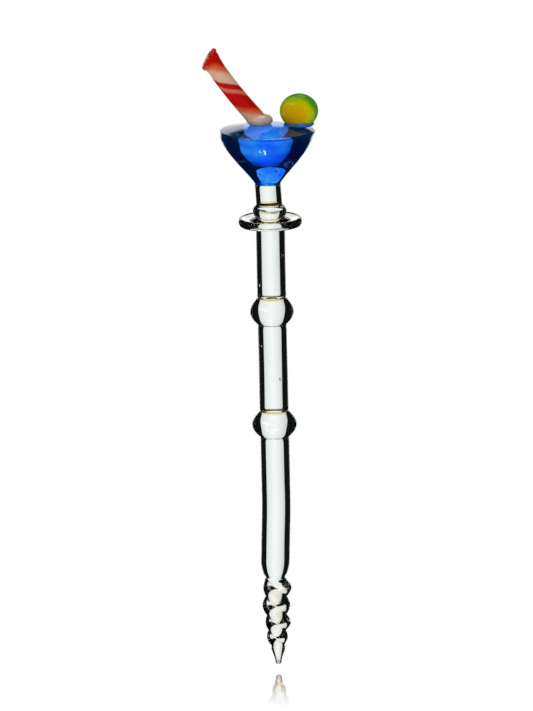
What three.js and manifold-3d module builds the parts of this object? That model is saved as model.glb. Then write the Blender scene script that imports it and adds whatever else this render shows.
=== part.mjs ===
// A glass dip pen, lampworked from coloured glass, whose top is a cocktail glass with a straw and a
// slice of lime. Every gather of glass is its own solid, and the gathers meet at their fused seams.
// Millimetres, +Z up along the pen's axis, -Y in front. Heights here are measured from the writing
// tip; the finished pen's origin is on its axis at the grip, where the fingers hold it.
import * as THREE from "three";
import { mergeVertices } from "three/addons/utils/BufferGeometryUtils.js";
import Module from "manifold-3d";

const wasm = await Module();
wasm.setup();

// ---- Driving dimensions ----

const gripHeight = 42;
const rodRadius = 4;
const seamGap = 0.1; // left between two gathers where one is let into the other

const tip = { flatRadius: 0.6, bluntRadius: 1, bluntHeight: 0.9, topRadius: 1.85, top: 4.6 };
const nib = {
  top: 25.2,
  waistRadius: 2.95,
  swellRadius: 4,
  swellHeight: 21,
  // Half turns made by each strand below the nib's top: linear and squared terms, per mm and per mm2.
  halfTurns: [0.16, 0.0021],
  strandOffset: 0.28, // of the nib's radius
  strandSplit: 0.04, // of the nib's radius, from the axis to each strand's flat side
  steps: 48,
};
const shoulder = { top: 29, midHeight: 27, midRadius: 3.6 };
const lowerBead = { centre: 68.8, halfHeight: 3.6, radius: 6.2 };
const upperBead = { centre: 100.7, halfHeight: 3.7, radius: 6.05 };
const disc = { centre: 125.75, radius: 8.8, halfThickness: 1.35 };
const neckBead = { halfHeight: 1.9, radius: 4.7 };
const neck = { radius: 3.6, top: 136.4 };
const cup = { footTop: 138.5, footRadius: 5, rimHeight: 151.7, rimRadius: 13.05, domeHeight: 1.4 };
const straw = {
  footX: -2.6,
  footHeight: 154.3,
  lean: THREE.MathUtils.degToRad(36.8),
  bottom: 0.8, // along the straw, from the middle of its foot
  top: 19.5,
  lipTop: 22.2,
  outerRadius: 2.5,
  boreRadius: 1.4,
  lipRadius: 3.4,
  mouthTilt: THREE.MathUtils.degToRad(23), // of the lip's plane, turning the mouth further outwards
  pitch: 15.2,
  steps: 28,
};
const strawFoot = { x: -2.1, height: 154.3, halfWidth: 3.7, halfDepth: 3.6, halfHeight: 1.9 };
// The canes side by side round the straw: each takes its share of the turn.
const caneShares = { red_wide: 0.42, white_narrow: 0.12, red_narrow: 0.13, white_wide: 0.33 };
const lime = { x: 8.7, height: 156.6, halfWidth: 5.3, halfDepth: 3.6, halfHeight: 4.8 };
const limeFlesh = { height: 156.3, radius: 3.9 };
const limeFoot = { x: 8.2, height: 152.3, halfWidth: 4.7, halfDepth: 3.6, halfHeight: 1.5 };

const upAxis = new THREE.Vector3(0, 0, 1);
const facets = 28;
const fineFacets = 32;

// ---- Materials ----

const glass = (color, opacity) =>
  new THREE.MeshStandardMaterial({
    color,
    roughness: 0.05,
    metalness: 0,
    transparent: opacity < 1,
    opacity,
  });
const clearGlass = glass(0xf2f7f5, 0.35);
const cobaltGlass = glass(0x0b3fe0, 0.6);
const redGlass = glass(0xb80f0f, 1);
const ivoryGlass = glass(0xd2a88c, 1);
const limeGlass = glass(0x8fb000, 0.8);
const amberGlass = glass(0xc08a00, 0.9);

// ---- Shapes and tools ----

const at = (radius, height) => new THREE.Vector2(radius, height);

// A solid of revolution about Z, from an outline that runs upwards from the axis back to the axis.
function turned(outline, around = facets) {
  return new THREE.LatheGeometry(outline, around).rotateX(Math.PI / 2);
}

function rod(radius, bottom, top) {
  return turned([at(0, bottom), at(radius, bottom), at(radius, top), at(0, top)]);
}

// A bead pushed up out of a rod: it swells and falls back as a power of a cosine.
function bead({ centre, halfHeight, radius }, neckRadius, steps = 12) {
  const swell = 1.2;
  const outline = [at(0, centre - halfHeight)];
  for (let i = 0; i <= steps; i++) {
    const t = (2 * i) / steps - 1;
    const bulge = i === 0 || i === steps ? 0 : Math.cos((t * Math.PI) / 2) ** swell;
    outline.push(at(neckRadius + (radius - neckRadius) * bulge, centre + halfHeight * t));
  }
  outline.push(at(0, centre + halfHeight));
  return turned(outline);
}

function ellipsoid({ x, height, halfWidth, halfDepth, halfHeight }, around = 20, down = 14) {
  return new THREE.SphereGeometry(1, around, down)
    .rotateX(Math.PI / 2)
    .scale(halfWidth, halfDepth, halfHeight)
    .translate(x, 0, height);
}

// Moves every vertex of a unit or straight extrusion.
function warped(geometry, move) {
  const places = geometry.getAttribute("position");
  const point = new THREE.Vector3();
  for (let i = 0; i < places.count; i++) {
    move(point.fromBufferAttribute(places, i));
    places.setXYZ(i, point.x, point.y, point.z);
  }
  return geometry;
}

function toSolid(geometry) {
  const bare = geometry.clone();
  bare.deleteAttribute("normal");
  bare.deleteAttribute("uv");
  const merged = mergeVertices(bare, 1e-3);
  const mesh = new wasm.Mesh({
    numProp: 3,
    vertProperties: new Float32Array(merged.getAttribute("position").array),
    triVerts: new Uint32Array(merged.index.array),
  });
  return new wasm.Manifold(mesh);
}

function toGeometry(solid) {
  const { vertProperties, triVerts } = solid.getMesh();
  const geometry = new THREE.BufferGeometry();
  geometry.setAttribute("position", new THREE.BufferAttribute(vertProperties, 3));
  geometry.setIndex(new THREE.BufferAttribute(triVerts, 1));
  geometry.computeVertexNormals();
  return geometry;
}

// A piece with its neighbours' room cut out of it.
function cutBy(geometry, ...neighbours) {
  const cut = neighbours.reduce((solid, other) => solid.subtract(toSolid(other)), toSolid(geometry));
  return toGeometry(cut);
}

// ---- Nib ----

function nibPoint() {
  return turned(
    [
      at(0, 0),
      at(tip.flatRadius, 0),
      at(tip.bluntRadius, tip.bluntHeight),
      at(tip.topRadius, tip.top),
      at(0, tip.top),
    ],
    20,
  );
}

const nibOutline = new THREE.SplineCurve([
  at(tip.topRadius, tip.top),
  at(0.74 * nib.swellRadius, 7.6),
  at(0.9 * nib.swellRadius, 12.4),
  at(nib.swellRadius, nib.swellHeight),
  at(nib.waistRadius, nib.top),
]);

// Where a strand stands round the axis. It turns left-handed, and is in front at the nib's top.
function strandAngle(height) {
  const below = nib.top - height;
  const [linear, squared] = nib.halfTurns;
  return -Math.PI / 2 + Math.PI * (linear * below + squared * below * below);
}

function nibStrand(startAngle) {
  const strandRadius = 1 - nib.strandOffset;
  const reach = Math.acos((nib.strandSplit - nib.strandOffset) / strandRadius);
  const section = new THREE.Shape();
  section.absarc(nib.strandOffset, 0, strandRadius, -reach, reach, false);
  section.lineTo(nib.strandSplit, 0);
  const straight = new THREE.ExtrudeGeometry(section, {
    depth: 1,
    steps: nib.steps,
    curveSegments: 10,
    bevelEnabled: false,
  });
  return warped(straight, (point) => {
    const { x: radius, y: height } = nibOutline.getPoint(point.z);
    point.set(point.x * radius, point.y * radius, height);
    point.applyAxisAngle(upAxis, startAngle + strandAngle(height));
  });
}

function nibShoulder() {
  const flare = new THREE.SplineCurve([
    at(nib.waistRadius, nib.top),
    at(shoulder.midRadius, shoulder.midHeight),
    at(rodRadius, shoulder.top),
  ]);
  return turned([at(0, nib.top), ...flare.getPoints(8), at(0, shoulder.top)]);
}

// ---- Shaft ----

const bottomOf = ({ centre, halfHeight }) => centre - halfHeight;
const topOf = ({ centre, halfHeight }) => centre + halfHeight;
const discBottom = disc.centre - disc.halfThickness;
const discTop = disc.centre + disc.halfThickness;
const placedNeckBead = { ...neckBead, centre: discTop + neckBead.halfHeight };

function collarDisc() {
  const edge = new THREE.Path();
  const rounding = disc.halfThickness;
  edge.absarc(disc.radius - rounding, disc.centre, rounding, -Math.PI / 2, Math.PI / 2, false);
  return turned([at(0, discBottom), ...edge.getPoints(8), at(0, discTop)], fineFacets);
}

// ---- Cup ----

const cupFlare = new THREE.SplineCurve([
  at(cup.footRadius, cup.footTop),
  at(6.6, 140.4),
  at(9, 143.2),
  at(11.1, 146),
  at(12.6, 148.9),
  at(cup.rimRadius, cup.rimHeight),
]);

function cupFoot() {
  const flare = new THREE.SplineCurve([
    at(neck.radius, neck.top),
    at(4.1, 137.4),
    at(cup.footRadius, cup.footTop),
  ]);
  return turned([at(0, neck.top), ...flare.getPoints(4), at(0, cup.footTop)], fineFacets);
}

// The bowl is solid: its top is a low dome of the same glass. Raised, it is the room it takes.
function cupBowl(raise = 0) {
  const dome = new THREE.EllipseCurve(0, cup.rimHeight, cup.rimRadius, cup.domeHeight, 0, Math.PI / 2);
  const outline = [at(0, cup.footTop), ...cupFlare.getPoints(14), ...dome.getPoints(8).slice(1)];
  outline[outline.length - 1].x = 0;
  return turned(outline, fineFacets).translate(0, 0, raise);
}

// ---- Straw, built upright along Z from the middle of its foot ----

function strawCane(fromShare, toShare) {
  const middleRadius = (straw.outerRadius + straw.boreRadius) / 2;
  const gapAngle = (1.5 * seamGap) / middleRadius;
  const from = fromShare * 2 * Math.PI + gapAngle / 2;
  const to = toShare * 2 * Math.PI - gapAngle / 2;
  const section = new THREE.Shape();
  section.absarc(0, 0, straw.outerRadius, from, to, false);
  section.absarc(0, 0, straw.boreRadius, to, from, true);
  const depth = straw.top - straw.bottom;
  const straight = new THREE.ExtrudeGeometry(section, {
    depth,
    steps: straw.steps,
    curveSegments: Math.max(2, Math.round((toShare - fromShare) * 18)),
    bevelEnabled: false,
  });
  return warped(straight, (point) => {
    point.z += straw.bottom;
    point.applyAxisAngle(upAxis, (-2 * Math.PI * point.z) / straw.pitch);
  });
}

// The flared end, whose mouth turns away from the straw's own axis.
function strawLip() {
  const bottom = straw.top + seamGap;
  const { lipTop, lipRadius, outerRadius, boreRadius, mouthTilt } = straw;
  const roll = 0.5;
  const outside = new THREE.SplineCurve([
    at(outerRadius, bottom),
    at(outerRadius + 0.25, bottom + 1.2),
    at(lipRadius, lipTop - roll),
  ]);
  const mouth = new THREE.SplineCurve([
    at(lipRadius - 0.3, lipTop),
    at(boreRadius + 0.5, lipTop - 0.8),
    at(boreRadius, bottom),
  ]);
  const outline = [...outside.getPoints(6), ...mouth.getPoints(6), at(outerRadius, bottom)];
  return warped(turned(outline), (point) => {
    point.z += (point.x * Math.tan(mouthTilt) * (point.z - bottom)) / (lipTop - bottom);
  });
}

// Stands something built upright on the straw's foot and leans it to the left with the straw.
const alongStraw = new THREE.Matrix4()
  .makeTranslation(straw.footX, 0, straw.footHeight)
  .multiply(new THREE.Matrix4().makeRotationY(-straw.lean));

function strawFootBlob() {
  const socket = rod(straw.outerRadius + seamGap, straw.bottom - seamGap, straw.top);
  return cutBy(ellipsoid(strawFoot, 24), socket.applyMatrix4(alongStraw), cupBowl(seamGap));
}

// ---- Lime ----

// The slice stands on its edge, facing the front, and its flesh goes through from face to face.
const fleshPlug = (gap) =>
  rod(limeFlesh.radius + gap, -lime.halfDepth, lime.halfDepth)
    .rotateX(Math.PI / 2)
    .translate(lime.x, 0, limeFlesh.height);

const limeFootPad = (gap) =>
  ellipsoid({
    ...limeFoot,
    halfWidth: limeFoot.halfWidth + gap,
    halfDepth: limeFoot.halfDepth + gap,
    halfHeight: limeFoot.halfHeight + gap,
  });

function limePeel() {
  return cutBy(ellipsoid(lime, 32), fleshPlug(seamGap), limeFootPad(seamGap), cupBowl(seamGap));
}

function limeFleshDisc() {
  const disc = toSolid(ellipsoid(lime, 32)).intersect(toSolid(fleshPlug(0)));
  return toGeometry(disc.subtract(toSolid(limeFootPad(seamGap))));
}

const limeFootWeld = () => cutBy(limeFootPad(0), cupBowl(seamGap));

// ---- Assembly ----

const pen = new THREE.Group();
pen.position.z = -gripHeight;

function add(parent, name, geometry, material) {
  const mesh = new THREE.Mesh(geometry, material);
  mesh.name = name;
  parent.add(mesh);
}

add(pen, "nib_point", nibPoint(), clearGlass);
add(pen, "nib_strand_front", nibStrand(0), clearGlass);
add(pen, "nib_strand_back", nibStrand(Math.PI), clearGlass);
add(pen, "nib_shoulder", nibShoulder(), clearGlass);
add(pen, "grip_rod", rod(rodRadius, shoulder.top, bottomOf(lowerBead)), clearGlass);
add(pen, "lower_bead", bead(lowerBead, rodRadius), clearGlass);
add(pen, "middle_rod", rod(rodRadius, topOf(lowerBead), bottomOf(upperBead)), clearGlass);
add(pen, "upper_bead", bead(upperBead, rodRadius), clearGlass);
add(pen, "upper_rod", rod(rodRadius, topOf(upperBead), discBottom), clearGlass);
add(pen, "collar_disc", collarDisc(), clearGlass);
add(pen, "neck_bead", bead(placedNeckBead, neck.radius, 8), clearGlass);
add(pen, "neck_rod", rod(neck.radius, topOf(placedNeckBead), neck.top), clearGlass);
add(pen, "cup_foot", cupFoot(), cobaltGlass);
add(pen, "cup_bowl", cupBowl(), cobaltGlass);

add(pen, "straw_foot", strawFootBlob(), ivoryGlass);
const strawGroup = new THREE.Group();
strawGroup.applyMatrix4(alongStraw);
pen.add(strawGroup);
let share = 0;
for (const [name, width] of Object.entries(caneShares)) {
  const material = name.startsWith("red") ? redGlass : ivoryGlass;
  add(strawGroup, `straw_cane_${name}`, strawCane(share, share + width), material);
  share += width;
}
add(strawGroup, "straw_lip", strawLip(), redGlass);

add(pen, "lime_foot", limeFootWeld(), limeGlass);
add(pen, "lime_peel", limePeel(), limeGlass);
add(pen, "lime_flesh", limeFleshDisc(), amberGlass);

export default pen;
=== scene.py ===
import math
import random
from functools import lru_cache

import bmesh
import bpy
from mathutils import Matrix, Vector, noise


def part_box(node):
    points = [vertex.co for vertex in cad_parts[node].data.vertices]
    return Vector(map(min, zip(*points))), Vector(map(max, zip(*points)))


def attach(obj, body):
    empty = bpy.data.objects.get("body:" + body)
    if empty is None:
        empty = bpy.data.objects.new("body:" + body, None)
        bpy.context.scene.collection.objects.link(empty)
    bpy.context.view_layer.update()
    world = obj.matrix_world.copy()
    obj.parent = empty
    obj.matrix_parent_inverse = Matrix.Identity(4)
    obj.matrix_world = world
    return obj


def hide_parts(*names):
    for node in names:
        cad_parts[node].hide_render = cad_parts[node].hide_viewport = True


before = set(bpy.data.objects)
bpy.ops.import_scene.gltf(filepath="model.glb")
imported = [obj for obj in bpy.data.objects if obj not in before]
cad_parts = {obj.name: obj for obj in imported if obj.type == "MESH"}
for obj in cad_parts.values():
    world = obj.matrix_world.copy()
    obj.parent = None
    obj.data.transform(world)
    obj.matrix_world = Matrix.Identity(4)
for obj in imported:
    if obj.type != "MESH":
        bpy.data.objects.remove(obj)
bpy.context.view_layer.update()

MM = 0.001
TAU = 2 * math.pi


# ---- Where the CAD's gathers of glass are ----

@lru_cache(maxsize=None)
def box(node):
    """The corners of a CAD node's box. It is looked up once, because the shapes below ask for it often."""
    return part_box(node)


def low(node):
    return box(node)[0].z


def high(node):
    return box(node)[1].z


def radius(node):
    lo, hi = box(node)
    return (hi.x - lo.x) / 2


TIP = low("nib_point")
SEAM = 0.02 * MM  # air left between two gathers of different glass


# ---- Meshes ----

def new_object(name, verts, faces, material, smooth=True):
    mesh = bpy.data.meshes.new(name)
    mesh.from_pydata([tuple(v) for v in verts], [], faces)
    mesh.validate()
    mesh.polygons.foreach_set("use_smooth", [smooth] * len(mesh.polygons))
    obj = bpy.data.objects.new(name, mesh)
    bpy.context.scene.collection.objects.link(obj)
    if material:
        mesh.materials.append(material)
    return obj


def ring_faces(first, second, around):
    """The quads between two rings of vertices, each given by its first vertex."""
    following = [(i + 1) % around for i in range(around)]
    return [(first + i, first + j, second + j, second + i) for i, j in enumerate(following)]


def middle(points):
    return sum(points, Vector()) / len(points)


def revolved(name, rings, around, material, shape):
    """A closed body round Z. Each ring is a height, and shape(ring, angle) gives the point on it."""
    circles = [[Vector(shape(ring, TAU * i / around)) for i in range(around)] for ring in rings]
    verts = [point for circle in circles for point in circle]
    faces = []
    for k in range(len(rings) - 1):
        faces += ring_faces(k * around, (k + 1) * around, around)
    verts += [middle(circles[0]), middle(circles[-1])]
    last = (len(rings) - 1) * around
    faces += [((i + 1) % around, i, len(verts) - 2) for i in range(around)]
    faces += [(last + i, last + (i + 1) % around, len(verts) - 1) for i in range(around)]
    return new_object(name, verts, faces, material)


def spaced(start, end, step):
    count = max(1, round((end - start) / step))
    return [start + (end - start) * i / count for i in range(count)]


def smoothstep(low_edge, high_edge, x):
    t = min(1, max(0, (x - low_edge) / (high_edge - low_edge)))
    return t * t * (3 - 2 * t)


def curve_through(points, x):
    """Smooth interpolation, without overshoot, through (x, y) points."""
    if x <= points[0][0]:
        return points[0][1]
    if x >= points[-1][0]:
        return points[-1][1]
    slopes = [(b[1] - a[1]) / (b[0] - a[0]) for a, b in zip(points, points[1:])]
    tangents = [slopes[0]]
    for before, after in zip(slopes, slopes[1:]):
        tangents.append(0 if before * after <= 0 else 2 * before * after / (before + after))
    tangents.append(slopes[-1])
    k = next(i for i in range(len(slopes)) if x <= points[i + 1][0])
    (x0, y0), (x1, y1) = points[k], points[k + 1]
    w, t = x1 - x0, (x - x0) / (x1 - x0)
    h00, h10 = 2 * t**3 - 3 * t**2 + 1, t**3 - 2 * t**2 + t
    h01, h11 = -2 * t**3 + 3 * t**2, t**3 - t**2
    return h00 * y0 + h10 * w * tangents[k] + h01 * y1 + h11 * w * tangents[k + 1]


# ---- Materials ----

def glass_tree(name, roughness, ior, transmission=0.0):
    """A new material, whose constants are set on its shader's own sockets."""
    material = bpy.data.materials.new(name)
    material.use_nodes = True
    nodes = material.node_tree.nodes
    shader = nodes["Principled BSDF"]
    shader.inputs["Roughness"].default_value = roughness
    shader.inputs["IOR"].default_value = ior
    shader.inputs["Transmission Weight"].default_value = transmission
    return material, nodes, material.node_tree.links, shader


def math_node(nodes, operation, *constants):
    """A Math node. The constants are for its second input and on."""
    node = nodes.new("ShaderNodeMath")
    node.operation = operation
    for k, value in enumerate(constants, 1):
        node.inputs[k].default_value = value
    return node


def map_range(nodes, from_min, from_max, to_min=0.0, to_max=1.0):
    node = nodes.new("ShaderNodeMapRange")
    node.inputs["From Min"].default_value = from_min
    node.inputs["From Max"].default_value = from_max
    node.inputs["To Min"].default_value = to_min
    node.inputs["To Max"].default_value = to_max
    return node


def axes_of(nodes, links, kind):
    """The X, Y and Z of the object's own coordinates, or of its generated ones."""
    coordinates = nodes.new("ShaderNodeTexCoord")
    parts = nodes.new("ShaderNodeSeparateXYZ")
    links.new(coordinates.outputs[kind], parts.inputs["Vector"])
    return parts.outputs


def colour_ramp(nodes, stops):
    ramp = nodes.new("ShaderNodeValToRGB")
    elements = ramp.color_ramp.elements
    while len(elements) > 1:
        elements.remove(elements[-1])
    elements[0].position, elements[0].color = stops[0][0], (*stops[0][1], 1)
    for position, colour in stops[1:]:
        elements.new(position).color = (*colour, 1)
    return ramp


def noise_texture(nodes, links, scale, detail=2.0, stretch=(1, 1, 1)):
    coordinates = nodes.new("ShaderNodeTexCoord")
    mapping = nodes.new("ShaderNodeMapping")
    mapping.inputs["Scale"].default_value = stretch
    texture = nodes.new("ShaderNodeTexNoise")
    texture.inputs["Scale"].default_value = scale
    texture.inputs["Detail"].default_value = detail
    links.new(coordinates.outputs["Object"], mapping.inputs["Vector"])
    links.new(mapping.outputs["Vector"], texture.inputs["Vector"])
    return texture


def flame_polish(nodes, links, shader, scale=260, height=0.00002, strength=0.25):
    """The slight waviness that a flame leaves on glass, in its relief."""
    waves = noise_texture(nodes, links, scale, 1.0)
    bump = nodes.new("ShaderNodeBump")
    bump.inputs["Strength"].default_value = strength
    bump.inputs["Distance"].default_value = height
    links.new(waves.outputs["Fac"], bump.inputs["Height"])
    links.new(bump.outputs["Normal"], shader.inputs["Normal"])


def tinted_glass(name, tints, tint_scale=90, clear=1.0):
    """Clear or coloured glass. What isn't clear of it is a faint milkiness of the same colour."""
    material, nodes, links, shader = glass_tree(name, 0.0, CLEAR_IOR, clear)
    clouds = noise_texture(nodes, links, tint_scale)
    ramp = colour_ramp(nodes, [(0.35, tints[0]), (0.65, tints[1])])
    links.new(clouds.outputs["Fac"], ramp.inputs["Fac"])
    links.new(ramp.outputs["Color"], shader.inputs["Base Color"])
    flame_polish(nodes, links, shader)
    return material


def mixed(nodes, links, factor, below, above):
    """Two colours mixed by a factor. Below is a socket, above a plain colour."""
    mix = nodes.new("ShaderNodeMix")
    mix.data_type = "RGBA"
    factor_in, first_colour, second_colour, colour_out = 0, 6, 7, 2  # a Mix node's sockets for colours
    links.new(factor, mix.inputs[factor_in])
    links.new(below, mix.inputs[first_colour])
    mix.inputs[second_colour].default_value = (*above, 1)
    return mix.outputs[colour_out]


def rod_glass(name, painted_bands, nib_top):
    """Clear glass, with warm patches in the nib. Each painted band is a height, half its width and its
    colour: gold glints painted along the creases and violet shade painted at the tip.
    """
    material = tinted_glass(name, [(0.965, 0.985, 0.978), (0.985, 1.0, 0.995)])
    nodes, links = material.node_tree.nodes, material.node_tree.links
    shader = nodes["Principled BSDF"]
    colour = shader.inputs["Base Color"].links[0].from_socket
    height = axes_of(nodes, links, "Object")["Z"]
    in_nib = math_node(nodes, "LESS_THAN", nib_top)
    links.new(height, in_nib.inputs[0])
    warm_patches = noise_texture(nodes, links, 420)
    warm_patch_amount = map_range(nodes, 0.50, 0.68)
    links.new(warm_patches.outputs["Fac"], warm_patch_amount.inputs["Value"])
    links.new(in_nib.outputs["Value"], warm_patch_amount.inputs["To Max"])
    colour = mixed(nodes, links, warm_patch_amount.outputs["Result"], colour, NIB_WARM_PATCH)
    # Painted glints and painted shade, laid over the glass's colour in bands by height.
    for z, half_width, painted_colour in painted_bands:
        painted_band = math_node(nodes, "COMPARE", z, half_width)
        links.new(height, painted_band.inputs[0])
        colour = mixed(nodes, links, painted_band.outputs["Value"], colour, painted_colour)
    links.new(colour, shader.inputs["Base Color"])
    return material


def cup_glass(name, bottom, top):
    """Cobalt glass: deep blue in the body of the cup, paler at its foot and towards its rim."""
    material, nodes, links, shader = glass_tree(name, 0.0, CLEAR_IOR, transmission=0.965)
    rise = map_range(nodes, bottom, top, -0.48, 0.52)
    clouds = noise_texture(nodes, links, 170, 3.0)
    drift = math_node(nodes, "MULTIPLY_ADD", 1.0)
    ramp = colour_ramp(nodes, CUP_BLUES)
    links.new(axes_of(nodes, links, "Object")["Z"], rise.inputs["Value"])
    links.new(clouds.outputs["Fac"], drift.inputs[0])
    links.new(rise.outputs["Result"], drift.inputs[2])
    links.new(drift.outputs["Value"], ramp.inputs["Fac"])
    links.new(ramp.outputs["Color"], shader.inputs["Base Color"])
    flame_polish(nodes, links, shader, 200, 0.00006, 0.5)
    return material


def straw_glass(name):
    """Red and ivory canes wound round the straw: u goes once round it, v is its length in turns."""
    material, nodes, links, shader = glass_tree(name, 0.1, MILKY_IOR)
    shader.inputs["Specular IOR Level"].default_value = 0.25
    winding = nodes.new("ShaderNodeUVMap")
    winding.uv_map = "winding"
    parts = nodes.new("ShaderNodeSeparateXYZ")
    ragged = noise_texture(nodes, links, 420, 3.0)
    sum_uv = math_node(nodes, "ADD")
    shift = math_node(nodes, "MULTIPLY_ADD", 0.05)
    turn = math_node(nodes, "FRACT")
    ramp = colour_ramp(nodes, STRAW_STRIPES)
    links.new(winding.outputs["UV"], parts.inputs["Vector"])
    links.new(parts.outputs["X"], sum_uv.inputs[0])
    links.new(parts.outputs["Y"], sum_uv.inputs[1])
    links.new(ragged.outputs["Fac"], shift.inputs[0])
    links.new(sum_uv.outputs["Value"], shift.inputs[2])
    links.new(shift.outputs["Value"], turn.inputs[0])
    links.new(turn.outputs["Value"], ramp.inputs["Fac"])
    links.new(ramp.outputs["Color"], shader.inputs["Base Color"])
    flame_polish(nodes, links, shader, 260, 0.00002, 0.2)
    return material


def milky_glass(name, colours):
    material, nodes, links, shader = glass_tree(name, 0.1, MILKY_IOR)
    clouds = noise_texture(nodes, links, 300, 3.0)
    ramp = colour_ramp(nodes, [(0.3, colours[0]), (0.7, colours[1])])
    links.new(clouds.outputs["Fac"], ramp.inputs["Fac"])
    links.new(ramp.outputs["Color"], shader.inputs["Base Color"])
    flame_polish(nodes, links, shader, 400, 0.00003, 0.3)
    return material


def lime_slice_glass(name, centre, reach):
    """Amber in the middle of the slice and green round its edge, with the two colours run together."""
    material, nodes, links, shader = glass_tree(name, 0.06, MILKY_IOR)
    shader.inputs["Specular IOR Level"].default_value = 0.16
    coordinates = nodes.new("ShaderNodeTexCoord")
    from_centre = nodes.new("ShaderNodeMapping")
    from_centre.vector_type = "TEXTURE"
    from_centre.inputs["Location"].default_value = centre
    from_centre.inputs["Scale"].default_value = reach
    length = nodes.new("ShaderNodeVectorMath")
    length.operation = "LENGTH"
    ragged = noise_texture(nodes, links, 330)
    blend = math_node(nodes, "MULTIPLY_ADD", 0.16)
    ramp = colour_ramp(nodes, LIME_RINGS)
    links.new(coordinates.outputs["Object"], from_centre.inputs["Vector"])
    links.new(from_centre.outputs["Vector"], length.inputs[0])
    links.new(ragged.outputs["Fac"], blend.inputs[0])
    links.new(length.outputs["Value"], blend.inputs[2])
    links.new(blend.outputs["Value"], ramp.inputs["Fac"])
    links.new(ramp.outputs["Color"], shader.inputs["Base Color"])
    flame_polish(nodes, links, shader, 300, 0.00004, 0.4)
    return material


def bare_material(name):
    """A material with nothing in it but its output."""
    material = bpy.data.materials.new(name)
    material.use_nodes = True
    nodes = material.node_tree.nodes
    nodes.clear()
    return material, nodes, material.node_tree.links, nodes.new("ShaderNodeOutputMaterial")


def glow(name, colour, strength):
    material, nodes, links, output = bare_material(name)
    emission = nodes.new("ShaderNodeEmission")
    emission.inputs["Color"].default_value = (*colour, 1)
    emission.inputs["Strength"].default_value = strength
    links.new(emission.outputs["Emission"], output.inputs["Surface"])
    return material


CLEAR_IOR, MILKY_IOR = 1.47, 1.5
RED, DARK_RED, ORANGE = (0.50, 0.005, 0.003), (0.45, 0.008, 0.007), (0.68, 0.055, 0.012)
IVORY, PINK = (0.68, 0.42, 0.28), (0.66, 0.145, 0.10)
# Up the front of the straw from the foot end of the wide red cane, as parts of one turn.
STRAW_STRIPES = [
    (0.0, ORANGE),
    (0.06, RED),
    (0.35, RED),
    (0.40, PINK),
    (0.45, PINK),
    (0.49, DARK_RED),
    (0.58, DARK_RED),
    (0.63, IVORY),
    (0.83, IVORY),
    (0.92, (0.62, 0.16, 0.07)),
    (1.0, ORANGE),
]
# From the cup's foot up to its rim.
CUP_BLUES = [
    (0.0, (0.026, 0.33, 1.0)),
    (0.20, (0.006, 0.10, 1.0)),
    (0.40, (0.003, 0.06, 1.0)),
    (0.57, (0.003, 0.075, 1.0)),
    (0.76, (0.010, 0.17, 1.0)),
    (0.94, (0.06, 0.46, 1.0)),
]
LIME_RINGS = [
    (0.0, (0.62, 0.34, 0.001)),
    (0.48, (0.62, 0.37, 0.001)),
    (0.65, (0.58, 0.45, 0.002)),
    (0.80, (0.42, 0.47, 0.002)),
    (0.92, (0.22, 0.43, 0.004)),
    (1.0, (0.07, 0.29, 0.014)),
]

# Warm patches, at random, in the nib's colour.
NIB_WARM_PATCH = (0.88, 0.72, 0.56)
# Gold glints painted into the glass in a narrow band along each crease: at the tops of the beads, the disc
# and the neck bead.
CREASE_PAINTED_GLINT = (0.86, 0.66, 0.26)
# Violet shade painted round the end of the nib, where the point looks dark.
TIP_PAINTED_SHADE = (0.66, 0.45, 0.54)
CREASED_NODES = ("lower_bead", "upper_bead", "collar_disc", "neck_bead")
PAINTED_LIGHT_BANDS = [(high(node), 0.3 * MM, CREASE_PAINTED_GLINT) for node in CREASED_NODES]
PAINTED_LIGHT_BANDS.append((TIP + 0.5 * MM, 0.8 * MM, TIP_PAINTED_SHADE))
clear_glass = rod_glass("clear_glass", PAINTED_LIGHT_BANDS, high("nib_strand_front"))
cobalt_glass = cup_glass("cobalt_glass", low("cup_foot"), high("cup_bowl"))
straw_material = straw_glass("striped_glass")
ivory_glass = milky_glass("ivory_glass", [(0.48, 0.39, 0.33), (0.68, 0.52, 0.47)])
# The weld under the slice: dark glass, with the cup's blue reflected in it painted into its colour.
weld_glass_painted_blue = tinted_glass("weld_glass", [(0.03, 0.12, 0.30), (0.06, 0.24, 0.85)], 260, clear=0.30)


# ---- Clear body: nib, rods, beads, disc and neck, as one run of glass ----

ROD = radius("grip_rod")
TWIST_BOTTOM, TWIST_TOP = low("nib_strand_front"), high("nib_strand_front")
SHOULDER_TOP = high("nib_shoulder")
SWELL = 1.08 * radius("nib_strand_front")
WAIST = radius("nib_shoulder") * 0.735
NIB_POINTS = [
    (TWIST_BOTTOM, 1.14 * radius("nib_point")),
    (TWIST_BOTTOM + 3.0 * MM, 0.74 * SWELL),
    (TWIST_BOTTOM + 7.8 * MM, 0.90 * SWELL),
    (TWIST_TOP - 4.0 * MM, SWELL),
    (TWIST_TOP - 1.2 * MM, 0.88 * SWELL),
    (TWIST_TOP, WAIST),
]
TIP_POINTS = [
    (TIP, 0.42 * MM),
    (TIP + 0.15 * MM, 0.68 * MM),
    (TIP + 0.5 * MM, 0.82 * MM),
    (TIP + 1.5 * MM, 0.98 * MM),
    NIB_POINTS[0],
]
SHOULDER_POINTS = [(TWIST_TOP, WAIST), (TWIST_TOP + 1.9 * MM, 0.9 * ROD), (SHOULDER_TOP, ROD)]
NECK_BASE = low("neck_bead")
NECK_BULGE = radius("neck_bead") - radius("neck_rod")
NECK_ARC = 3.5 * MM  # the neck bead's height, from the disc to the crease above it
NECK_POINTS = [
    (NECK_BASE + NECK_ARC * part, radius("neck_rod") + NECK_BULGE * bulge)
    for part, bulge in (
        (0, 0.42), (0.16, 0.72), (0.32, 0.93), (0.47, 1.0), (0.62, 0.93), (0.78, 0.68), (0.92, 0.3), (1, 0),
    )
]
GROOVE = 0.66  # the nib's radius between its two strands, as a part of its full radius
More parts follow.
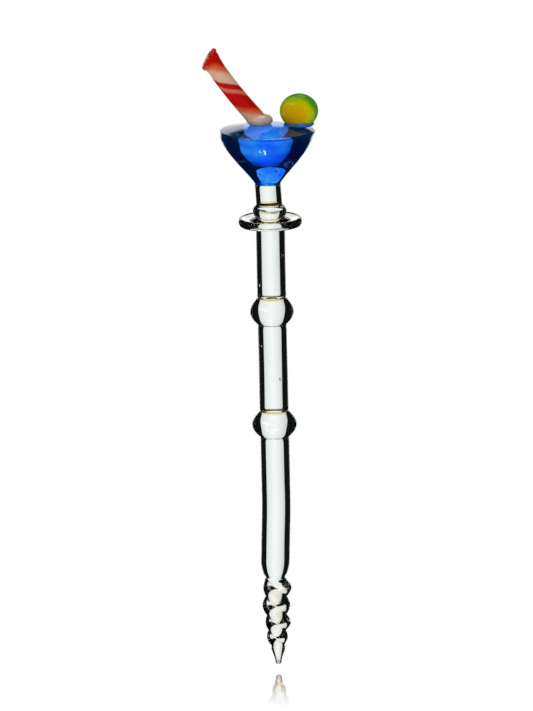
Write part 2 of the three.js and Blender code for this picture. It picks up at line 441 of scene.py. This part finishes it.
THIN_STRAND = 0.90  # the second strand's reach, against the first's
BEAD_SKEW, BEAD_POWER = 0.06, 0.95
CREASE_DEPTH, CREASE_WIDTH = 0.2 * MM, 0.22 * MM


def lobed(angle, strand_at, groove):
    """Polar radius, for a reach of 1, of two round strands side by side, the second a little thinner."""
    c, s = math.cos(angle - strand_at), math.sin(angle - strand_at)
    reach = 1 if c > 0 else 1 - (1 - THIN_STRAND) * (1 - groove) / (1 - GROOVE)
    offset = (reach - groove**2 / reach) / 2
    return offset * abs(c) + math.sqrt(max(0, (reach - offset) ** 2 - (offset * s) ** 2))


def strand_angle(z):
    below = (TWIST_TOP - z) / MM
    return -math.pi / 2 + math.pi * (0.16 * below + 0.0021 * below**2)


def bead_radius(node, z):
    """A bead's radius at a height. It is a little fuller above its middle."""
    lo, hi = low(node), high(node)
    t = 2 * (z - lo) / (hi - lo) - 1
    t += BEAD_SKEW * (1 - t * t)
    return ROD + (radius(node) - ROD) * max(0, math.cos(t * math.pi / 2)) ** BEAD_POWER


def crease(z, at):
    """The fine groove that stays where a bead was pushed up against the rod above it."""
    return -CREASE_DEPTH * math.exp(-(((z - at) / CREASE_WIDTH) ** 2))


def clear_radius(z):
    if z < TWIST_BOTTOM:
        return curve_through(TIP_POINTS, z)
    if z < TWIST_TOP:
        return curve_through(NIB_POINTS, z)
    if z < SHOULDER_TOP:
        return curve_through(SHOULDER_POINTS, z)
    for node in ("lower_bead", "upper_bead"):
        if low(node) < z < high(node) + 1 * MM:
            bulge = bead_radius(node, z) if z < high(node) else ROD
            return bulge + crease(z, high(node) + 0.1 * MM)
    if z < low("collar_disc"):
        return ROD
    return curve_through(NECK_POINTS, z)


def clear_levels():
    levels = [TIP, TIP + 0.1 * MM] + spaced(TIP + 0.2 * MM, TWIST_BOTTOM, 0.3 * MM)
    levels += spaced(TWIST_BOTTOM, TWIST_TOP, 0.18 * MM)
    levels += spaced(TWIST_TOP, SHOULDER_TOP, 0.25 * MM)
    start = SHOULDER_TOP
    for node in ("lower_bead", "upper_bead"):
        levels += spaced(start, low(node), 1.5 * MM)
        levels += spaced(low(node), high(node) - 0.4 * MM, 0.2 * MM)
        levels += spaced(high(node) - 0.4 * MM, high(node) + 0.7 * MM, 0.06 * MM)
        start = high(node) + 0.7 * MM
    return levels + spaced(start, low("collar_disc") - 0.5 * MM, 1.5 * MM)


SWAY_POINTS = [
    (TIP, -0.25 * MM),
    (TWIST_TOP - 3 * MM, -0.3 * MM),
    (TWIST_TOP, -0.6 * MM),
    (SHOULDER_TOP + 4 * MM, -0.4 * MM),
    (SHOULDER_TOP + 19 * MM, 0.12 * MM),
    (low("lower_bead"), 0.1 * MM),
    (high("upper_bead"), 0.1 * MM),
    (low("collar_disc"), 0.2 * MM),
    (low("cup_foot"), -0.28 * MM),
]


def sway(z):
    """How far the hand-drawn rod wanders off its axis, sideways."""
    return curve_through(SWAY_POINTS, z)


def clear_shape(level, angle):
    z, r = level
    if z < TWIST_TOP + 1.5 * MM:
        depth = (1 - GROOVE) * smoothstep(TWIST_BOTTOM - 1.5 * MM, TWIST_BOTTOM + 2 * MM, z)
        depth *= 1 - smoothstep(TWIST_TOP - 1.8 * MM, TWIST_TOP + 1.2 * MM, z)
        r *= lobed(angle, strand_angle(z), 1 - depth)
    hand = noise.noise(Vector((math.cos(angle), math.sin(angle), z / (14 * MM)))) * 0.05 * MM
    r += hand * smoothstep(TIP, TWIST_BOTTOM, z)
    return (r * math.cos(angle) + sway(z), r * math.sin(angle), z)


def clear_body():
    rings = [(z, clear_radius(z)) for z in clear_levels()]
    lo, hi, edge = low("collar_disc"), high("collar_disc"), radius("collar_disc")
    rim_half = 1.15 * MM
    rim_z = (lo + hi) / 2 + 0.1 * MM
    # Under the disc, out along its lower face, round its rolled rim, and back over its dished upper face.
    rings += [(lo - 0.35 * MM, ROD + 0.02 * MM), (lo - 0.15 * MM, ROD + 0.12 * MM), (lo, ROD + 0.4 * MM)]
    rings += [(lo + 0.08 * MM, 0.6 * edge), (lo + 0.2 * MM, 0.74 * edge)]
    for a in range(-80, 91, 10):
        turn = math.radians(a)
        rings.append((rim_z + rim_half * math.sin(turn), edge - 0.7 * rim_half * (1 - math.cos(turn))))
    rings += [(hi - 0.42 * MM, 0.80 * edge), (hi - 0.75 * MM, 0.71 * edge), (hi - 0.65 * MM, 0.63 * edge)]
    rings += [(hi - 0.45 * MM, 0.58 * edge), (hi - 0.2 * MM, NECK_POINTS[0][1] + 0.08 * MM)]
    rings += [(z, clear_radius(z)) for z in spaced(hi + 0.05 * MM, high("neck_bead"), 0.12 * MM)]
    top = high("neck_rod")
    rings += [(z, clear_radius(z)) for z in spaced(high("neck_bead") + 0.02 * MM, top - SEAM, 0.8 * MM)]
    rings += [(top - SEAM, radius("neck_rod") - 0.03 * MM), (top - SEAM, 0.5 * radius("neck_rod"))]
    return revolved("clear_body", rings, 96, clear_glass, clear_shape)


def add_bubbles(obj, bubbles):
    """Seeds: small closed voids, whose faces look inwards, into the air that they hold."""
    mesh = bmesh.new()
    mesh.from_mesh(obj.data)
    for (x, y, z), size, stretch in bubbles:
        place = Matrix.Translation((x, y, z)) @ Matrix.Diagonal((size, size, size * stretch, 1))
        made = bmesh.ops.create_icosphere(mesh, subdivisions=3, radius=1, matrix=place)
        faces = {face for vert in made["verts"] for face in vert.link_faces}
        for face in faces:
            face.smooth = True
        bmesh.ops.reverse_faces(mesh, faces=list(faces))
    mesh.to_mesh(obj.data)
    mesh.free()


body = clear_body()
add_bubbles(
    body,
    [
        ((2.6 * MM, -0.8 * MM, low("collar_disc") - 8 * MM), 0.35 * MM, 1.5),
        ((-1.9 * MM, 0.6 * MM, high("upper_bead") + 3.5 * MM), 0.2 * MM, 2.5),
        ((1.2 * MM, 1.0 * MM, high("lower_bead") + 9 * MM), 0.16 * MM, 3.0),
        ((-2.2 * MM, -0.5 * MM, low("upper_bead") - 6 * MM), 0.18 * MM, 2.0),
    ],
)
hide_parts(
    "nib_point", "nib_strand_front", "nib_strand_back", "nib_shoulder", "grip_rod", "lower_bead",
    "middle_rod", "upper_bead", "upper_rod", "collar_disc", "neck_bead", "neck_rod",
)
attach(body, "root")


# ---- Cup ----

CUP_LOW, RIM = low("cup_foot"), radius("cup_bowl")
CUP_SIDE = [
    (0.0, 3.55), (0.5, 3.72), (1.1, 4.15), (2.1, 4.95), (4.0, 6.6), (6.8, 9.0), (9.6, 11.1),
    (12.5, 12.6), (13.8, 12.9), (14.4, 13.0),
]


def cup():
    rings = [(CUP_LOW + SEAM, 0.5 * radius("neck_rod")), (CUP_LOW + SEAM, 3.5 * MM)]
    side_top = CUP_SIDE[-1][0]
    for dz in spaced(0.05, side_top, 0.3):
        rings.append((CUP_LOW + dz * MM, curve_through(CUP_SIDE, dz) * MM))
    rim_round = 0.75 * MM
    top_z = CUP_LOW + side_top * MM
    for a in range(0, 86, 8):
        turn = math.radians(a)
        inward = rim_round * (1 - math.cos(turn))
        rings.append((top_z + rim_round * math.sin(turn), RIM - inward - 0.02 * MM))
    shoulder_z, inner = rings[-1]
    rise = high("cup_bowl") - shoulder_z
    for f in (0.97, 0.93, 0.88, 0.82, 0.75, 0.67, 0.6, 0.5, 0.4, 0.3, 0.2, 0.1, 0.04):
        rings.append((shoulder_z + rise * (1 - f * f) ** 1.2, inner * f))

    def shape(level, angle):
        z, r = level
        hand = noise.noise(Vector((math.cos(angle), math.sin(angle), z / (9 * MM)))) * 0.12 * MM
        r = min(RIM, r + hand * smoothstep(CUP_LOW, CUP_LOW + 4 * MM, z) * min(1, r / (6 * MM)))
        return (r * math.cos(angle) + max(sway(CUP_LOW), -(RIM - r)), r * math.sin(angle), z)

    return revolved("cobalt_cup", rings, 128, cobalt_glass, shape)


def seeds_in_cup(count):
    """Seeds scattered in the narrow foot of the cup."""
    scatter = random.Random(11)
    seeds = []
    for _ in range(count):
        turn, rise = scatter.uniform(0, TAU), scatter.uniform(1.2, 5.5)
        out = scatter.uniform(0.2, 0.6) * curve_through(CUP_SIDE, rise) * MM
        place = (out * math.cos(turn), out * math.sin(turn), CUP_LOW + rise * MM)
        seeds.append((place, scatter.uniform(0.09, 0.22) * MM, scatter.uniform(0.8, 1.3)))
    return seeds


cup_piece = cup()
add_bubbles(
    cup_piece,
    seeds_in_cup(6)
    + [
        ((1.5 * MM, -1.6 * MM, CUP_LOW + 5.8 * MM), 0.32 * MM, 0.8),
        ((2.3 * MM, -1.0 * MM, CUP_LOW + 4.1 * MM), 0.24 * MM, 0.9),
        ((0.7 * MM, -2.6 * MM, CUP_LOW + 6.6 * MM), 0.18 * MM, 1.0),
        ((3.1 * MM, 0.4 * MM, CUP_LOW + 6.2 * MM), 0.26 * MM, 0.8),
        ((-1.6 * MM, 0.9 * MM, CUP_LOW + 5.0 * MM), 0.2 * MM, 1.0),
        ((2.9 * MM, -2.4 * MM, CUP_LOW + 7.4 * MM), 0.14 * MM, 1.0),
    ],
)
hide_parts("cup_foot", "cup_bowl")
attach(cup_piece, "root")


# ---- Straw ----

FOOT_LO, FOOT_HI = box("straw_foot")
STRAW_BASE = Vector((-2.6 * MM, 0, (FOOT_LO.z + FOOT_HI.z) / 2 - 0.35 * MM))
STRAW_LEAN = math.radians(36.8)
STRAW_TOP, LIP_TOP = 19.5 * MM, 21.46 * MM
PITCH = 15.2 * MM
MOUTH_TURN = math.radians(23)
STRAW_START = 0.02  # where it leaves its weld, as a part of its length
STRIPE_PHASE = -0.08


def straw():
    around = 72
    outer, bore, lip = 2.5 * MM, 1.4 * MM, 3.4 * MM
    roll, roll_start = 0.84 * MM, math.radians(-50)
    flare_top = LIP_TOP + roll * math.sin(roll_start)
    flare = [
        (0, outer),
        (0.6, outer * 0.975),
        (0.84, outer * 0.97),
        (0.91, outer * 1.03),
        (0.97, outer + 0.42 * MM),
        (1.0, lip - roll * (1 - math.cos(roll_start)) - 0.04 * MM),
    ]
    rings = []  # (height along the straw, radius)
    for i in range(61):
        f = STRAW_START + (1 - STRAW_START) * i / 60
        rings.append((f * flare_top, curve_through(flare, f)))
    for a in range(0, 14):
        turn = roll_start + (math.pi - roll_start) * a / 13
        rings.append((LIP_TOP + roll * math.sin(turn), lip - roll * (1 - math.cos(turn))))
    inside = [
        (0.4, lip - 1.55 * MM),
        (1.0, bore + 0.6 * MM),
        (1.8, bore + 0.2 * MM),
        (3, bore),
        (9, bore),
        (16, bore),
        (16.3, bore * 0.5),
    ]
    rings += [(LIP_TOP - down * MM, r) for down, r in inside]

    sideways = Matrix.Rotation(-STRAW_LEAN, 4, "Y")

    def place(height, r, angle):
        x, y, above = r * math.cos(angle), r * math.sin(angle), height - LIP_TOP
        turn = MOUTH_TURN * smoothstep(STRAW_TOP - 3.5 * MM, LIP_TOP - 0.3 * MM, height)
        turned = max(above, -0.6 * MM)
        across = x * math.cos(turn) - turned * math.sin(turn)
        along = LIP_TOP + above - turned + x * math.sin(turn) + turned * math.cos(turn)
        bow = -0.4 * MM * math.sin(math.pi * min(1, height / LIP_TOP))
        return STRAW_BASE + sideways @ Vector((across + bow, y, along))

    verts, faces, windings = [], [], []
    for height, r in rings:
        verts += [place(height, r, TAU * i / around) for i in range(around)]
    for k in range(len(rings) - 1):
        faces += ring_faces(k * around, (k + 1) * around, around)
        v0, v1 = rings[k][0] / PITCH, rings[k + 1][0] / PITCH
        for i in range(around):
            u0, u1 = i / around, (i + 1) / around
            windings += [(u0, v0), (u1, v0), (u1, v1), (u0, v1)]
    caps = [(0, 0, True), (len(rings) - 1, rings[-1][0] / PITCH, False)]
    for k, v, flip in caps:
        centre = len(verts)
        verts.append(middle(verts[k * around:(k + 1) * around]))
        for i in range(around):
            a, b = k * around + i, k * around + (i + 1) % around
            faces.append((b, a, centre) if flip else (a, b, centre))
            u0, u1 = i / around, (i + 1) / around
            windings += [(u1, v), (u0, v), (u0, v)] if flip else [(u0, v), (u1, v), (u0, v)]
    obj = new_object("striped_straw", verts, faces, straw_material)
    layer = obj.data.uv_layers.new(name="winding")
    for loop, uv in zip(layer.data, windings):
        loop.uv = (uv[0] + STRIPE_PHASE, uv[1])
    return obj


straw_piece = straw()
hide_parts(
    "straw_cane_red_wide", "straw_cane_white_wide", "straw_cane_red_narrow",
    "straw_cane_white_narrow", "straw_lip",
)
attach(straw_piece, "root")


def blob(name, lo, hi, material, seed, fullness, around=64, rings=40):
    """A soft lump of glass in a box, with its own slight lopsidedness. Fullness 1 is round, and 2 squarer."""
    centre, half = (lo + hi) / 2, (hi - lo) / 2
    levels = [-math.pi / 2 + math.pi * (k + 0.5) / rings for k in range(rings)]

    def shape(level, angle):
        r, z = math.cos(level) ** (1 / fullness), math.sin(level)
        point = Vector((r * math.cos(angle), r * math.sin(angle), z))
        point *= 1 - 0.03 * (0.5 + 0.5 * noise.noise(point * 1.7 + Vector((seed, 0, 0))))
        return (centre.x + half.x * point.x, centre.y + half.y * point.y, centre.z + half.z * point.z)

    return revolved(name, levels, around, material, shape)


foot_piece = blob("straw_weld", FOOT_LO - Vector((0, 0, 0.7 * MM)), FOOT_HI, ivory_glass, 3, 1.25)
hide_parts("straw_foot")
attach(foot_piece, "root")


# ---- Lime: a slice on its edge, its flesh let into a ring of peel ----

PEEL_LO, PEEL_HI = box("lime_peel")
FLESH_LO, FLESH_HI = box("lime_flesh")
WELD_LO, WELD_HI = box("lime_foot")
LIME_HALF = Vector(((PEEL_HI.x - PEEL_LO.x) / 2, (FLESH_HI.y - FLESH_LO.y) / 2, 4.8 * MM))
LIME_MID = Vector(((PEEL_HI.x + PEEL_LO.x) / 2, 0, PEEL_HI.z - LIME_HALF.z))
FLESH_MID = Vector((LIME_MID.x, 0, LIME_MID.z - 0.3 * MM))
FLESH_RADIUS = (FLESH_HI.x - FLESH_LO.x) / 2

RIPE_SPOT = FLESH_MID - Vector((0.9 * MM, 0, 0.35 * MM))
RIPE_REACH = (1.15 * LIME_HALF.x, 7 * LIME_HALF.y, 1.15 * LIME_HALF.z)
lime_glass = lime_slice_glass("lime_slice_glass", RIPE_SPOT, RIPE_REACH)


def weld_top(x, y):
    """Height of the weld under the slice."""
    mid, half = (WELD_LO + WELD_HI) / 2, (WELD_HI - WELD_LO) / 2
    inside = 1 - ((x - mid.x) / half.x) ** 2 - ((y - mid.y) / half.y) ** 2
    return WELD_HI.z - 1.5 * MM * (1 - math.sqrt(max(0, inside)))


def on_slice(out, angle, side):
    """A point on the slice's face, out from the middle of the flesh. Side is -1 in front, 1 behind."""
    x, z = FLESH_MID.x + out * math.cos(angle), FLESH_MID.z + out * math.sin(angle)
    inside = 1 - ((x - LIME_MID.x) / LIME_HALF.x) ** 2 - ((z - LIME_MID.z) / LIME_HALF.z) ** 2
    y = side * LIME_HALF.y * math.sqrt(max(0, inside))
    dent = 1 - 0.05 * (0.5 + 0.5 * noise.noise(Vector((x, y, z)) / (4 * MM)))
    return Vector((x, y * dent, max(z, weld_top(x, y) + 0.05 * MM)))


def edge_out(angle):
    """How far it is from the middle of the flesh to the slice's edge."""
    c, s = math.cos(angle) / LIME_HALF.x, math.sin(angle) / LIME_HALF.z
    drop = (FLESH_MID.z - LIME_MID.z) / LIME_HALF.z
    a, b, d = c * c + s * s, s * drop, drop * drop - 1
    return (-b + math.sqrt(b * b - a * d)) / a


def lime_flesh():
    around, rings = 72, 16
    verts, faces = [], []
    for side in (-1, 1):
        first = len(verts)
        for k in range(1, rings + 1):
            out = FLESH_RADIUS * math.sin(math.pi / 2 * k / rings)
            verts += [on_slice(out, TAU * i / around, side) for i in range(around)]
        verts.append(on_slice(0, 0, side))
        for k in range(rings - 1):
            faces += [f[::side] for f in ring_faces(first + k * around, first + (k + 1) * around, around)]
        faces += [(first + (i + 1) % around, first + i, len(verts) - 1)[::side] for i in range(around)]
    front_rim, back_rim = (rings - 1) * around, (2 * rings - 1) * around + 1
    faces += ring_faces(back_rim, front_rim, around)
    return new_object("lime_flesh_glass", verts, faces, lime_glass)


def lime_peel():
    around, across = 96, 14
    verts, faces = [], []
    inner = FLESH_RADIUS + 0.02 * MM
    for i in range(around):
        angle = TAU * i / around
        width = edge_out(angle) - inner
        outs = [inner + width * math.sin(math.pi / 2 * k / across) for k in range(across + 1)]
        verts += [on_slice(out, angle, -1) for out in outs]
        verts += [on_slice(out, angle, 1) for out in reversed(outs[:-1])]
    loop = 2 * across + 1
    for i in range(around):
        a, b = i * loop, (i + 1) % around * loop
        faces += [(a + k, a + (k + 1) % loop, b + (k + 1) % loop, b + k) for k in range(loop)]
    return new_object("lime_peel_glass", verts, faces, lime_glass)


def outward(obj):
    """Turns a closed body's faces outwards, and keeps its corners crisp."""
    mesh = bmesh.new()
    mesh.from_mesh(obj.data)
    bmesh.ops.recalc_face_normals(mesh, faces=mesh.faces)
    for edge in mesh.edges:
        edge.smooth = edge.calc_face_angle(0) < math.radians(50)
    mesh.to_mesh(obj.data)
    mesh.free()
    return obj


flesh_piece = outward(lime_flesh())
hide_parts("lime_flesh")
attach(flesh_piece, "root")

peel_piece = outward(lime_peel())
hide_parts("lime_peel")
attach(peel_piece, "root")

weld_piece = blob("lime_weld_glass", WELD_LO, WELD_HI, weld_glass_painted_blue, 5, 1.9)
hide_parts("lime_foot")
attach(weld_piece, "root")


# ---- Camera ----

PHOTO_HEIGHT = 711
MM_PER_PIXEL = 0.2752
ELEVATION, ROLL = 13.4, 1.3

camera_data = bpy.data.cameras.new("camera")
camera = bpy.data.objects.new("camera", camera_data)
bpy.context.scene.collection.objects.link(camera)
bpy.context.scene.camera = camera
camera_data.lens = 400
camera_data.sensor_width = 36
frame_height = PHOTO_HEIGHT * MM_PER_PIXEL * MM
distance = frame_height / 2 / (camera_data.sensor_width / 2 / camera_data.lens)
aim = Vector((-1.68 * MM, 0, TIP + 88.05 * MM))
elevation = math.radians(ELEVATION)
back = Vector((0, -math.cos(elevation), math.sin(elevation)))
camera.location = aim + back * distance
camera.rotation_mode = "QUATERNION"
level_view = (-back).to_track_quat("-Z", "Y")
camera.rotation_quaternion = level_view @ Matrix.Rotation(math.radians(-ROLL), 4, "Z").to_quaternion()
camera_data.clip_start, camera_data.clip_end = 0.05, 20


# ---- Studio: white floor and walls, lit cards round the glass, and black flags at its sides ----

def disc_mesh(name, outer, material, z, around=96):
    turns = [TAU * i / around for i in range(around)]
    verts = [(outer * math.cos(turn), outer * math.sin(turn), z) for turn in turns]
    verts.append((0, 0, z))
    return new_object(name, verts, [(i, (i + 1) % around, around) for i in range(around)], material)


def floor_material():
    """White, and glossy in a small round patch under the nib, in shallow views only."""
    material, nodes, links, output = bare_material("studio_floor")
    white = nodes.new("ShaderNodeEmission")
    gloss = nodes.new("ShaderNodeBsdfGlossy")
    gloss.inputs["Roughness"].default_value = 0.03
    mix = nodes.new("ShaderNodeMixShader")
    coordinates = nodes.new("ShaderNodeTexCoord")
    length = nodes.new("ShaderNodeVectorMath")
    length.operation = "LENGTH"
    falloff = map_range(nodes, 3 * MM, 41 * MM, 0.85, 0.0)
    falloff.interpolation_type = "SMOOTHSTEP"
    grazing = nodes.new("ShaderNodeLayerWeight")
    grazing.inputs["Blend"].default_value = 0.5
    steep = map_range(nodes, 0.62, 0.75)
    both = math_node(nodes, "MULTIPLY")
    links.new(coordinates.outputs["Object"], length.inputs[0])
    links.new(length.outputs["Value"], falloff.inputs["Value"])
    links.new(grazing.outputs["Facing"], steep.inputs["Value"])
    links.new(falloff.outputs["Result"], both.inputs[0])
    links.new(steep.outputs["Result"], both.inputs[1])
    links.new(both.outputs["Value"], mix.inputs["Fac"])
    links.new(white.outputs["Emission"], mix.inputs[1])
    links.new(gloss.outputs["BSDF"], mix.inputs[2])
    links.new(mix.outputs["Shader"], output.inputs["Surface"])
    return material


def only_seen_by(obj, camera_rays=False, diffuse=False, glossy=False, transmission=False):
    obj.visible_camera = camera_rays
    obj.visible_diffuse = diffuse
    obj.visible_glossy = glossy
    obj.visible_transmission = transmission
    obj.visible_shadow = False
    obj.visible_volume_scatter = False


FLOOR_Z = TIP - 1.6 * MM
floor = disc_mesh("floor", 5.6, floor_material(), 0)
floor.location.z = FLOOR_Z
only_seen_by(floor, camera_rays=True, diffuse=True)

studio_white = glow("studio_white", (1, 1, 1), 1.0)


def walls():
    """A round white room with a domed ceiling, so the light is even and soft."""
    size, around, rings = 5.5, 48, 16
    base = FLOOR_Z - 0.01
    verts = []
    for k in range(rings):
        rise = math.pi / 2 * k / rings
        across, z = size * math.cos(rise), base + size * math.sin(rise)
        turns = [TAU * i / around for i in range(around)]
        verts += [(across * math.cos(turn), across * math.sin(turn), z) for turn in turns]
    faces = [f for k in range(rings - 1) for f in ring_faces(k * around, (k + 1) * around, around)]
    verts.append((0, 0, base + size))
    last, top = (rings - 1) * around, len(verts) - 1
    faces += [(last + i, last + (i + 1) % around, top) for i in range(around)]
    return new_object("studio_walls", verts, faces, studio_white)


room = walls()
only_seen_by(room, camera_rays=True, diffuse=True)


def card(name, left, right, bottom, top, away, material, **seen_by):
    """A flat card behind the pen and square to the camera, given by the angles that it fills as seen
    from the pen, in degrees. It stands on the camera's rig, and so stays behind the glass in every view."""
    x0, x1 = (away * math.tan(math.radians(a)) for a in (left, right))
    y0, y1 = (away * math.tan(math.radians(a)) for a in (bottom, top))
    z = -distance - away
    verts = [(x0, y0, z), (x1, y0, z), (x1, y1, z), (x0, y1, z)]
    obj = new_object(name, verts, [(0, 1, 2, 3)], material, smooth=False)
    obj.parent = camera
    only_seen_by(obj, **seen_by)


def graded_glow(name, stops, strength, along="X"):
    """A lit panel whose light changes from one side of it to the other, or along Y from its foot up."""
    material = glow(name, (1, 1, 1), strength)
    nodes, links = material.node_tree.nodes, material.node_tree.links
    ramp = colour_ramp(nodes, stops)
    links.new(axes_of(nodes, links, "Generated")[along], ramp.inputs["Fac"])
    links.new(ramp.outputs["Color"], nodes["Emission"].inputs["Color"])
    return material


PANEL_STOPS = [
    (0.0, (0.62, 0.66, 0.65)),
    (0.2, (0.80, 0.84, 0.83)),
    (0.5, (0.97, 1.0, 0.99)),
    (0.8, (0.84, 0.88, 0.87)),
    (1.0, (0.74, 0.78, 0.77)),
]
SHEEN_STOPS = [
    (0.0, (0.96, 0.99, 1.0)),
    (0.84, (0.96, 0.99, 1.0)),
    (0.93, (0.15, 0.17, 0.19)),
    (1.0, (0.01, 0.02, 0.02)),
]
panel = graded_glow("panel_white", PANEL_STOPS, 1.03)
sheen = graded_glow("sheen_white", SHEEN_STOPS, 1.3, along="Y")
warm = glow("warm_edge", (1.0, 0.66, 0.24), 1.2)
PANEL_SIDES, PANEL_AWAY = (-25, 27.5), 12
card("back_panel", *PANEL_SIDES, -42, 50, PANEL_AWAY, panel, transmission=True)
card("back_edge_high", *PANEL_SIDES, 50, 58, PANEL_AWAY, warm, transmission=True)
card("back_edge_low", *PANEL_SIDES, -56, -50, PANEL_AWAY, warm, transmission=True)
side = glow("side_grey", (0.09, 0.09, 0.075), 1.0)
card("side_left", -70, -58, -35, 45, 4, side, transmission=True)
card("side_right", 58, 70, -35, 45, 4, side, transmission=True)
card("back_sheen", -27, 29, -10, 38, PANEL_AWAY + 0.1, sheen, glossy=True)


def side_flag(name, x):
    """A black flag that stands in the room at one side, and keeps light off the sides of the milky glass."""
    half_depth, top = 1.5, 2.6
    verts = [(x, -half_depth, FLOOR_Z), (x, half_depth, FLOOR_Z), (x, half_depth, top), (x, -half_depth, top)]
    obj = new_object(name, verts, [(0, 1, 2, 3)], flag_black, smooth=False)
    only_seen_by(obj, diffuse=True)


flag_black = glow("flag_black", (0, 0, 0), 0.0)
side_flag("flag_left", -2.0)
side_flag("flag_right", 2.0)


CUP_CENTRE = Vector((0, 0, CUP_LOW + 8 * MM))


def softbox(name, centre, width, depth, strength):
    """A lit rectangle that faces the cup, seen only as a highlight on the glass."""
    verts = [(x * width / 2, y * depth / 2, 0) for x, y in ((-1, -1), (1, -1), (1, 1), (-1, 1))]
    light = glow(name + "_light", (1, 1, 1), strength)
    obj = new_object(name, verts, [(0, 1, 2, 3)], light, smooth=False)
    obj.location = centre
    obj.rotation_mode = "QUATERNION"
    obj.rotation_quaternion = (CUP_CENTRE - Vector(centre)).to_track_quat("Z", "Y")
    only_seen_by(obj, glossy=True)


softbox("key_box", (-1.7, -1.1, 1.5), 2.0, 0.5, 3.5)
softbox("glint_box", (-0.11, -0.66, FLOOR_Z - 1.2), 0.11, 0.40, 12.0)
softbox("glint_box_left", (-0.36, -0.68, FLOOR_Z - 1.2), 0.06, 0.30, 8.0)

amber_lamp = disc_mesh("amber_lamp", 0.7, glow("amber_light", (1.0, 0.70, 0.28), 6.0), 0)
amber_lamp.location = (0.5, 0.9, 2.6)
only_seen_by(amber_lamp, glossy=True, transmission=True)

overhead = disc_mesh("overhead_box", 1.3, glow("overhead_white", (1, 1, 1), 1.1), 0)
overhead.location = (-0.25, 0, 3)
only_seen_by(overhead, glossy=True, transmission=True)

world = bpy.data.worlds.new("dark_studio")
bpy.context.scene.world = world
world.use_nodes = True
world.node_tree.nodes["Background"].inputs["Color"].default_value = (0.005, 0.0068, 0.0058, 1)
world.node_tree.nodes["Background"].inputs["Strength"].default_value = 1.0

bpy.context.scene.view_settings.view_transform = "Standard"
